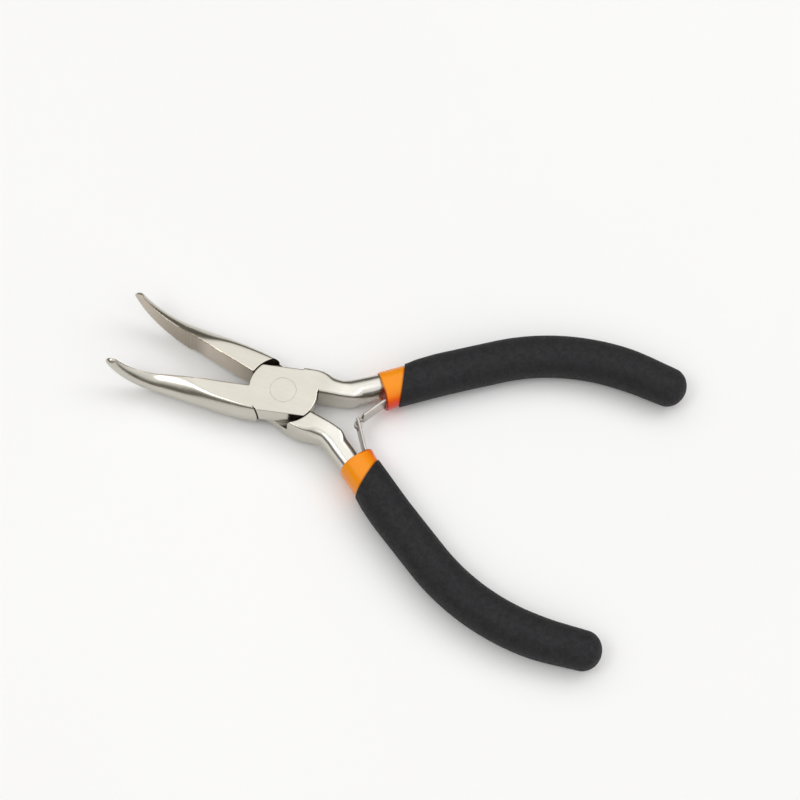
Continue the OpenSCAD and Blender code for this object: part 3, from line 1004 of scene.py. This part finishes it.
def build_half(side):
    """Forging, sleeve and grip; the number is the crease angle of the piece's shading."""
    name = SIDES[side]
    body = name + "_half"
    made = [
        (forging(side), "forging_" + name, NICKEL, "steel", 48, JAW_NODES[side]),
        (sleeve(side), "dipped_sleeve_" + name, ORANGE, "sleeve_orange", 40, "sleeve_" + name),
        (grip(side), "dipped_grip_" + name, BLACK, "grip_black", 50, "grip_" + name),
    ]
    for piece, title, material, slot, crease, node in made:
        piece.name = title
        finish_piece(piece, material, crease)
        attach(piece, body)
        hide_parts(node)


def build_spring(side):
    """One bent strip from foot to hook."""
    name = SIDES[side]
    piece = leaf_spring(side)
    piece.name = "bent_leaf_" + name
    finish_piece(piece, SPRING, 40)
    root = Vector([c * MM for c in LEAF_ROOT_OPEN])
    out = Vector([c * MM for c in (*leaf_direction(2 * HALF_OPEN), 0)])
    out.rotate(rotation_z(math.radians(HALF_OPEN)).to_euler())
    if side == 1:
        root.y, out.y = -root.y, -out.y
    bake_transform(piece)
    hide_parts("leaf_" + name, "leaf_foot_" + name)


for side in (0, 1):
    build_half(side)
    build_spring(side)
    fastener = frame["nodes"]["foot_rivet_" + SIDES[side]]
    fastener.data.materials.clear()
    fastener.data.materials.append(SPRING)

rivet = pivot_rivet()
finish_piece(rivet, NICKEL, 30)
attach(rivet, "left_half")
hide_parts("pivot_rivet")


# ---- Floor, light and camera ----------------------------------------------------------

def floor():
    """Plain pale floor just under the lowest point."""
    size, below = 3.0, 0.0004
    z = CAD_BOX[0].z - below
    corners = [(-size, -size, z), (size, -size, z), (size, size, z), (-size, size, z)]
    obj = mesh_object("floor", corners, [(0, 1, 2, 3)])
    m = Surface("pale_floor")
    m.set(Roughness=0.9, Specular_IOR_Level=0.2)
    shades = [(0.3, (0.94, 0.94, 0.94)), (0.7, (0.955, 0.955, 0.955))]
    m.wire(Base_Color=m.ramp(m.noise(m.place, 6, 2), shades))
    obj.data.materials.append(m.material)


def sky():
    """Studio surroundings: bright above and dark near the horizon. The dark reaches higher
    towards +Y and lower towards +X. The camera itself sees a pale backdrop."""
    world = bpy.data.worlds.new("studio")
    bpy.context.scene.world = world
    world.use_nodes = True
    background = world.node_tree.nodes["Background"]
    m = Nodes(world.node_tree, "Generated")
    x, y, z = m.axes()
    behind = m.maths("MAXIMUM", y, 0.0)
    beside = m.maths("MAXIMUM", m.maths("MULTIPLY_ADD", m.maths("ABSOLUTE", y), -0.9, x), 0.0)
    height = m.maths("MULTIPLY_ADD", beside, 0.6, m.maths("MULTIPLY_ADD", behind, -0.25, z))
    light = m.ramp(height, [(0.0, (0.12, 0.11, 0.09)), (0.42, (0.17, 0.16, 0.135)),
                            (0.68, (0.88, 0.88, 0.875)), (1.0, (1.0, 1.0, 1.0))])
    seen = m.add("ShaderNodeLightPath").outputs["Is Camera Ray"]
    m.link(m.mixed(seen, light, (0.62, 0.62, 0.615)), background.inputs["Color"])
    background.inputs["Strength"].default_value = 1.08


def direction(azimuth, elevation):
    """Unit vector from the object towards an azimuth and elevation in degrees."""
    a, e = math.radians(azimuth), math.radians(elevation)
    return Vector((math.sin(a) * math.cos(e), -math.cos(a) * math.cos(e), math.sin(e)))


def lamp(name, azimuth, elevation, distance, size, watts):
    """Square soft light that looks at the object from the given direction."""
    light = bpy.data.lights.new(name, "AREA")
    light.size = size
    light.energy = watts
    obj = new_object(name, light)
    middle = Vector((20, 0, 0)) * MM
    back = direction(azimuth, elevation)
    obj.location = middle + back * distance
    obj.rotation_mode = "QUATERNION"
    obj.rotation_quaternion = back.to_track_quat("Z", "Y")


def camera():
    """Long lens from above the nearer handle, turned a little about its own axis."""
    azimuth, elevation, roll = 8.02, 65.30, 11.73
    aim = Vector((24.94, 8.62, MID_Z)) * MM
    distance = 0.56076
    data = bpy.data.cameras.new("camera")
    data.sensor_width = 36.0
    data.lens = 112.5
    obj = new_object("camera", data)
    back = direction(azimuth, elevation)
    level = Vector((*unit_vector(azimuth), 0))
    roll_level, roll_up = unit_vector(roll)
    right = level * roll_level + back.cross(level) * roll_up
    up = back.cross(right)
    obj.matrix_world = Matrix.Translation(aim + back * distance) @ Matrix(
        (right, up, back)).transposed().to_4x4()
    data.clip_start, data.clip_end = 0.05, 10.0
    bpy.context.scene.camera = obj


floor()
sky()
lamp("overhead", azimuth=188, elevation=65, distance=1.0, size=0.8, watts=0.8)
lamp("key", azimuth=-40, elevation=60, distance=0.9, size=0.3, watts=1.1)
lamp("fill", azimuth=132, elevation=52, distance=0.9, size=0.45, watts=1.0)
camera()
bpy.context.scene.view_settings.view_transform = "Standard"
